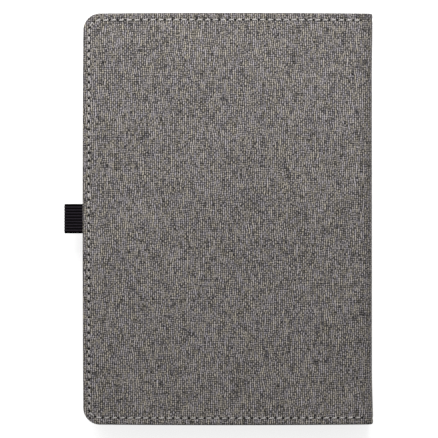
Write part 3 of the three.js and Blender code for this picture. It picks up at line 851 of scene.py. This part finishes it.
class PenLoop(bpy.types.Operator):
    """Elastic pen loop: tape out of the cover's edge, round a squarish loop and back."""

    bl_idname = "case.pen_loop"
    bl_label = "Pen loop"
    reach = 0.75 * MM
    wider = 0.3 * MM
    shift = 0.2 * MM
    relief = 0.16 * MM
    squareness = 4.2

    def execute(self, context):
        low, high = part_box("pen_loop")
        radius = (high.z - low.z - ELASTIC) / 2
        centre_x = low.x - self.reach + radius + ELASTIC / 2
        centre_z = (low.z + high.z) / 2
        angle = np.linspace(math.radians(92.0), math.radians(418.0), 120)
        power = 2.0 / self.squareness
        c, s = np.cos(angle), np.sin(angle)
        ring_x = centre_x + radius * np.sign(c) * np.abs(c) ** power
        ring_z = centre_z + radius * np.sign(s) * np.abs(s) ** power
        sink = np.clip(centre_z - ring_z + 3 * MM, 0.0, None)
        ring_x -= 0.12 * sink * (ring_x - centre_x) / radius
        top_z = ring_z.max()
        tail = np.linspace(high.x, centre_x + 0.2 * MM, 24)
        back = np.linspace(FREE_X - 0.6 * MM, high.x, 16)
        lower_z = top_z - ELASTIC
        x = np.concatenate([tail, ring_x, back])
        z = np.concatenate([np.full_like(tail, top_z), ring_z, np.full_like(back, lower_z)])
        gap = run_along(np.column_stack([x, z]))
        even = np.linspace(0.0, gap[-1], 150)
        x, z = np.interp(even, gap, x), np.interp(even, gap, z)
        for _ in range(3):
            x[1:-1] = (x[:-2] + 2 * x[1:-1] + x[2:]) / 4
            z[1:-1] = (z[:-2] + 2 * z[1:-1] + z[2:]) / 4
        path = np.stack([x, np.full_like(x, self.shift), z], -1)
        along = tangents(path)
        outward = np.stack([along[:, 2], np.zeros_like(x), -along[:, 0]], -1)
        width = high.y - low.y + self.wider
        cords = context.scene.keyboard_sizes.rib_count
        piece = tape_sheet("pen_loop_elastic", path, outward, width, cords, ELASTIC, self.relief)
        dress(piece, ribbed_elastic)
        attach(piece, "keyboard_cover")
        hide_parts("pen_loop")
        return {"FINISHED"}


# Panels with rounded edges


def add_fan(work, ring, turned):
    """Closes a ring of points with triangles to its middle."""
    middle = np.broadcast_to(ring.mean(0), ring.shape)
    work.add(np.stack([ring, middle], 1), close_rows=True, flip=turned)


def slab(name, low, high, corner, profile):
    """A closed plate in the box low to high: rings of a rounded rectangle, inset and placed in
    height by profile from the middle of the underside round the edge to the middle of the top."""
    turn = np.linspace(0.0, math.pi / 2, 7)
    x0, y0, x1, y1 = low.x + corner, low.y + corner, high.x - corner, high.y - corner
    corners = [(x1, y1), (x0, y1), (x0, y0), (x1, y0)]
    centres, normals = [], []
    for quarter, centre in enumerate(corners):
        angle = turn + quarter * math.pi / 2
        centres.append(np.tile(centre, (len(turn), 1)))
        normals.append(np.stack([np.cos(angle), np.sin(angle)], -1))
        after = corners[(quarter + 1) % 4]
        steps = max(3, int(math.dist(centre, after) / (6 * MM)))
        between = np.linspace(centre, after, steps)[1:-1]
        centres.append(between)
        normals.append(np.tile(normals[-1][-1], (len(between), 1)))
    centres, normals = np.concatenate(centres), np.concatenate(normals)
    d, z = np.array(profile).T
    ring = centres[:, None] + (corner - d)[None, :, None] * normals[:, None]
    points = np.dstack([ring, np.broadcast_to(z, ring.shape[:2])])
    work = Patchwork()
    work.add(points, close_rows=True, flip=True)
    add_fan(work, points[:, 0], False)
    add_fan(work, points[:, -1], True)
    return work.object(name)


def soft_edge(z0, z1, radius, flat, steps=5):
    """The profile of a plate with rounded edges, its flats running in to inset flat."""
    angle = np.linspace(0.0, math.pi / 2, steps)
    low = [(flat, z0)] + [(radius - radius * math.sin(a), z0 + radius - radius * math.cos(a))
                          for a in angle]
    high = [(radius - radius * math.cos(a), z1 - radius + radius * math.sin(a)) for a in angle]
    return low + high + [(flat, z1)]


class StandPanel(bpy.types.Operator):
    """The padded easel panel: board and pad wrapped in microfibre, with a pressed border."""

    bl_idname = "case.stand_panel"
    bl_label = "Stand panel"

    def execute(self, context):
        low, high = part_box("stand_panel_board")
        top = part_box("stand_panel_pad")[1].z
        rounded = soft_edge(low.z, top, 0.9 * MM, 4.0 * MM, 6)[:-1]
        profile = [(7.9 * MM, low.z)] + rounded
        border = [(2.2, 0.0), (2.9, -0.08), (3.4, -0.28), (3.9, -0.08), (4.8, 0.02), (7.9, 0.02)]
        profile += [(inset * MM, top + rise * MM) for inset, rise in border]
        piece = slab("stand_panel_padding", low, high, 8 * MM, profile)
        dress(piece, microfibre)
        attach(piece, "stand_panel")
        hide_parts("stand_panel_board", "stand_panel_pad")
        return {"FINISHED"}


class SmallSoftParts(bpy.types.Operator):
    """The prop leg and the rail that the stand's tape is sewn to."""

    bl_idname = "case.small_soft_parts"
    bl_label = "Leg and rail"

    def execute(self, context):
        for node, body, corner, radius in (
            ("prop_leg", "prop_leg", 6 * MM, 0.6 * MM),
            ("hinge_rail", "tablet_cover", 1.5 * MM, 0.6 * MM),
        ):
            low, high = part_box(node)
            profile = soft_edge(low.z, high.z, radius, corner - 0.1 * MM)
            piece = slab(f"{node}_wrap", low, high, corner, profile)
            dress(piece, microfibre)
            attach(piece, body)
            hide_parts(node)
        return {"FINISHED"}


class HingeTapes(bpy.types.Operator):
    """The woven tapes that hinge the panel to the cover and the leg to the panel."""

    bl_idname = "case.hinge_tapes"
    bl_label = "Hinge tapes"

    def execute(self, context):
        for node, joint, bodies, under in (
            ("panel_hinge_tape", "easel_tilt", ("stand_panel", "tablet_cover"), "hinge_rail"),
            ("leg_hinge_tape", "leg_swing", ("prop_leg", "stand_panel"), "stand_panel_padding"),
        ):
            low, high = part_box(node)
            x = spaced(low.x, high.x, 0.5 * MM)
            y = spaced(low.y, high.y, 4 * MM)
            level = (low.z + high.z) / 2 + 0.09 * MM
            grid_x, grid_y = np.meshgrid(x, y, indexing="ij")
            work = Patchwork()
            work.add(np.dstack([grid_x, grid_y, np.full_like(grid_x, level)]))
            piece = work.object(f"{node}_weave")
            thicken(piece, 0.22 * MM)
            dress(piece, woven_tape)
            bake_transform(piece)
            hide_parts(node)
        return {"FINISHED"}


class CornerStraps(bpy.types.Operator):
    """Four elastic straps across the panel's corners, tucked round its edges."""

    bl_idname = "case.corner_straps"
    bl_label = "Corner straps"
    width = 12 * MM
    tuck = 0.9 * MM

    def execute(self, context):
        panel_low, panel_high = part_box("stand_panel_board")
        for number in range(1, 5):
            node = f"corner_strap_{number}"
            low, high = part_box(node)
            middle = (low + high) / 2
            toward_x = 1.0 if middle.x > (panel_low.x + panel_high.x) / 2 else -1.0
            toward_y = 1.0 if middle.y > 0 else -1.0
            edge_x = high.x if toward_x > 0 else low.x
            edge_y = high.y if toward_y > 0 else low.y
            reach = high.x - low.x - self.width / math.sqrt(2)
            start = np.array([edge_x, edge_y - toward_y * reach])
            end = np.array([edge_x - toward_x * reach, edge_y])
            line = end - start
            length = np.linalg.norm(line)
            line /= length
            t = np.linspace(-0.5, 0.5, 81)
            s = t * (length + 2 * self.tuck)
            past = np.clip(np.abs(s) - length / 2, 0.0, None)
            level = low.z + 0.35 * MM
            drop = high.z - panel_low.z
            z = level + 0.5 * MM * np.cos(np.pi * np.clip(s / length, -0.5, 0.5))
            z = z - drop * smooth(past / self.tuck)
            flat = (start + end) / 2 + s[:, None] * line
            path = np.column_stack([flat, z])
            flat_side = np.cross(np.append(line, 0.0), [0.0, 0.0, 1.0])
            up = np.cross(flat_side, tangents(path))
            inward = -1.0 if flat_side[0] * toward_x + flat_side[1] * toward_y > 0 else 1.0
            piece = tape_sheet(f"{node}_elastic", path, up, self.width, 6, ELASTIC, 0.12 * MM,
                               splay=inward)
            dress(piece, ribbed_elastic)
            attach(piece, "stand_panel")
            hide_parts(node)
        return {"FINISHED"}


# Keys

LETTER_ROWS = {
    "function_keys": ["Esc", "Home", "Find", "Copy", "Cut", "Paste", "Back", "Play", "Next", "Mute",
                      "Vol -", "Vol +", "Lock"],
    "number_keys": list("`1234567890-="),
    "upper_letter_keys": list("QWERTYUIOP[]\\"),
    "home_letter_keys": list("ASDFGHJKL;'"),
    "lower_letter_keys": list("ZXCVBNM,./"),
    "left_modifier_keys": ["Ctrl", "Fn", "Menu", "Alt"],
    "right_modifier_keys": ["Alt", "Ctrl"],
    "backspace_key": ["Delete"],
    "tab_key": ["Tab"],
    "caps_lock_key": ["Caps"],
    "enter_key": ["Enter"],
    "left_shift_key": ["Shift"],
    "right_shift_key": ["Shift"],
    "space_bar": [""],
    "up_arrow_key": ["↑"],
    "left_arrow_key": ["←"],
    "down_arrow_key": ["↓"],
    "right_arrow_key": ["→"],
}
UNEVEN_WIDTHS = {"left_modifier_keys": (1.25, 1.0, 1.0, 1.25)}
KEY_FLANGE = 0.7 * MM
KEY_HALF_GAP = 0.9 * MM


def key_outlines(node):
    """The rectangles of a node's caps, from its box: caps share its width by their key units."""
    low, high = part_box(node)
    widths = np.array(UNEVEN_WIDTHS.get(node, (1.0,) * len(LETTER_ROWS[node])))
    spare = KEY_HALF_GAP - KEY_FLANGE
    edges = np.concatenate([[0.0], np.cumsum(widths)]) / widths.sum()
    y = low.y - spare + edges * (high.y - low.y + 2 * spare)
    x0, x1 = low.x + KEY_FLANGE, high.x - KEY_FLANGE
    return [(x0, y[k] + KEY_HALF_GAP, x1, y[k + 1] - KEY_HALF_GAP) for k in range(len(widths))]


def cap_rings(box, top, base, corner):
    """Rings of one cap: an upright skirt, a rounded shoulder and a shallow dish on its face."""
    x0, y0, x1, y1 = box
    turn = np.linspace(0.0, math.pi / 2, 5)
    angle = np.concatenate([turn + quarter * math.pi / 2 for quarter in range(4)])
    quarter = np.repeat(np.arange(4), len(turn))
    cx = np.where((quarter == 0) | (quarter == 3), x1 - corner, x0 + corner)
    cy = np.where(quarter < 2, y1 - corner, y0 + corner)
    inset = np.array([0.0, 0.0, 0.06, 0.2, 0.42, 0.75, 1.2, 1.49]) * MM
    level = np.array([1.0, 0.30, 0.18, 0.07, 0.02, 0.0, 0.025, 0.04])
    z = top + (base - top) * level
    x = cx[:, None] + (corner - inset)[None] * np.cos(angle)[:, None]
    y = cy[:, None] + (corner - inset)[None] * np.sin(angle)[:, None]
    return np.dstack([x, y, np.broadcast_to(z, x.shape)])


class KeyCaps(bpy.types.Operator):
    """Key caps with rounded shoulders, and their printed legends."""

    bl_idname = "case.key_caps"
    bl_label = "Key caps"

    def execute(self, context):
        scene = context.scene
        corner = scene.keyboard_sizes.cap_corner
        for node, labels in LETTER_ROWS.items():
            low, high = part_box(node)
            work = Patchwork()
            boxes = key_outlines(node)
            for box in boxes:
                rings = cap_rings(box, low.z, high.z, corner)
                work.add(rings, close_rows=True)
                add_fan(work, rings[:, 0], True)
                add_fan(work, rings[:, -1], False)
            piece = work.object(f"{node}_caps")
            dress(piece, key_plastic)
            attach(piece, node)
            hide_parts(node)
            self.print_legends(node, labels, boxes, low.z, scene.keyboard_sizes.legend_height)
        return {"FINISHED"}

    def print_legends(self, node, labels, boxes, face, height):
        """Letters laid flat on the caps, their tops toward the spine."""
        lettering = bmesh.new()
        for label, (x0, y0, x1, y1) in zip(labels, boxes):
            if not label:
                continue
            size = height if len(label) == 1 else height * 0.56
            flat = text_mesh(label, size)
            turn = Matrix(((0, 1, 0, (x0 + x1) / 2), (1, 0, 0, (y0 + y1) / 2),
                           (0, 0, -1, face - 0.012 * MM), (0, 0, 0, 1)))
            flat.transform(turn)
            lettering.from_mesh(flat)
            bpy.data.meshes.remove(flat)
        if not lettering.faces:
            lettering.free()
            return
        mesh = bpy.data.meshes.new(f"{node}_legends")
        lettering.to_mesh(mesh)
        lettering.free()
        piece = linked(f"{node}_legends", mesh)
        dress(piece, legend_ink)
        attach(piece, node)


def text_mesh(label, size):
    curve = bpy.data.curves.new("legend", "FONT")
    curve.body = label
    curve.size = size
    curve.align_x = "CENTER"
    curve.align_y = "CENTER"
    curve.resolution_u = 3
    holder = linked("legend", curve)
    mesh = evaluated(holder)
    bpy.data.objects.remove(holder)
    bpy.data.curves.remove(curve)
    return mesh


HARD_PARTS = {
    shell_plastic: ("keyboard_base", "keyboard_top_plate"),
    key_plastic: ("power_switch", "pairing_button"),
    black_rubber: ("foot_grip_strip", *(f"screen_bumper_{n}" for n in range(1, 5))),
    grey_board: ("tablet_cover_board", "keyboard_cover_board", "spine_board"),
    plated_metal: ("tablet_cover_magnet_1", "tablet_cover_magnet_2", "keyboard_cover_magnet_1",
                   "keyboard_cover_magnet_2", "charging_port"),
    silicone: ("key_membrane",),
    printed_film: ("contact_sheet",),
    circuit_green: ("circuit_board",),
    foil_pouch: ("battery_cell",),
    clear_lens: ("status_lens",),
}


class HardParts(bpy.types.Operator):
    """Finishes of the parts that keep their CAD shape."""

    bl_idname = "case.hard_parts"
    bl_label = "Hard parts"

    def execute(self, context):
        for material, nodes in HARD_PARTS.items():
            for node in nodes:
                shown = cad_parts[node]
                shown.data.materials.clear()
                shown.data.materials.append(finish(material))
        return {"FINISHED"}


class Stage(bpy.types.Operator):
    """Floor, camera square over the folio and soft studio light."""

    bl_idname = "case.stage"
    bl_label = "Stage"
    lens = 135.0
    sensor = 36.0
    seen = 271.6 * MM
    floor_reach = 3.0
    floor_drop = 0.2 * MM
    daylight = 0.25

    def execute(self, context):
        scene = context.scene
        scene.view_settings.view_transform = "Standard"
        scene.view_settings.look = "None"
        low, high = (np.array(corner) for corner in CAD_BOUNDS)
        middle = (low + high) / 2
        floor = Patchwork()
        ends = [-self.floor_reach, self.floor_reach]
        x, y = np.meshgrid(ends, ends, indexing="ij")
        floor.add(np.dstack([x, y, np.full_like(x, -self.floor_drop)]))
        ground = floor.object("floor", shade=False)
        ground.data.materials.append(finish(pale_floor))
        camera = linked("camera", bpy.data.cameras.new("camera"))
        camera.data.lens = self.lens
        camera.data.sensor_width = self.sensor
        distance = self.seen * self.lens / self.sensor
        camera.location = (middle[0] + 0.1 * MM, middle[1], high[2] + distance)
        scene.camera = camera
        world = bpy.data.worlds.new("studio")
        world.use_nodes = True
        sky = world.node_tree.nodes["Background"].inputs
        sky["Color"].default_value = (1.0, 1.0, 1.0, 1.0)
        sky["Strength"].default_value = self.daylight
        scene.world = world
        for name, place, size, power in (
            ("overhead_softbox", (-0.05, 0.5, 0.44), 0.6, 4.0),
            ("fill_softbox", (-0.9, -0.3, 1.2), 1.4, 0.2),
        ):
            lamp = bpy.data.lights.new(name, "AREA")
            lamp.size = size
            lamp.energy = power
            holder = linked(name, lamp)
            holder.location = place
            aim = middle - np.array(place)
            holder.rotation_euler = Vector(aim).to_track_quat("-Z", "Y").to_euler()
        return {"FINISHED"}


class CasePanel(bpy.types.Panel):
    """Lists the case's parts."""

    bl_idname = "VIEW3D_PT_case"
    bl_label = "Tablet keyboard case"
    bl_space_type = "VIEW_3D"
    bl_region_type = "UI"
    bl_category = "Case"

    def draw(self, context):
        for group in ("folio_sizes", "folio_colours", "keyboard_sizes"):
            settings = getattr(context.scene, group)
            for name in settings.__annotations__:
                self.layout.prop(settings, name)
        for part in PARTS:
            self.layout.operator(part.bl_idname)


PARTS = (OuterCloth, Linings, Stitching, PenLoop, StandPanel, SmallSoftParts, HingeTapes,
         CornerStraps, KeyCaps, HardParts, Stage)
GROUPS = {"folio_sizes": FolioSizes, "folio_colours": FolioColours,
          "keyboard_sizes": KeyboardSizes}


def register():
    for kind in (*GROUPS.values(), *PARTS, CasePanel):
        bpy.utils.register_class(kind)
    for name, kind in GROUPS.items():
        setattr(bpy.types.Scene, name, PointerProperty(type=kind))


def unregister():
    for name in GROUPS:
        delattr(bpy.types.Scene, name)
    for kind in reversed((*GROUPS.values(), *PARTS, CasePanel)):
        bpy.utils.unregister_class(kind)


def main():
    register()
    for part in PARTS:
        getattr(bpy.ops.case, part.bl_idname.split(".")[1])()


if __name__ == "__main__":
    main()
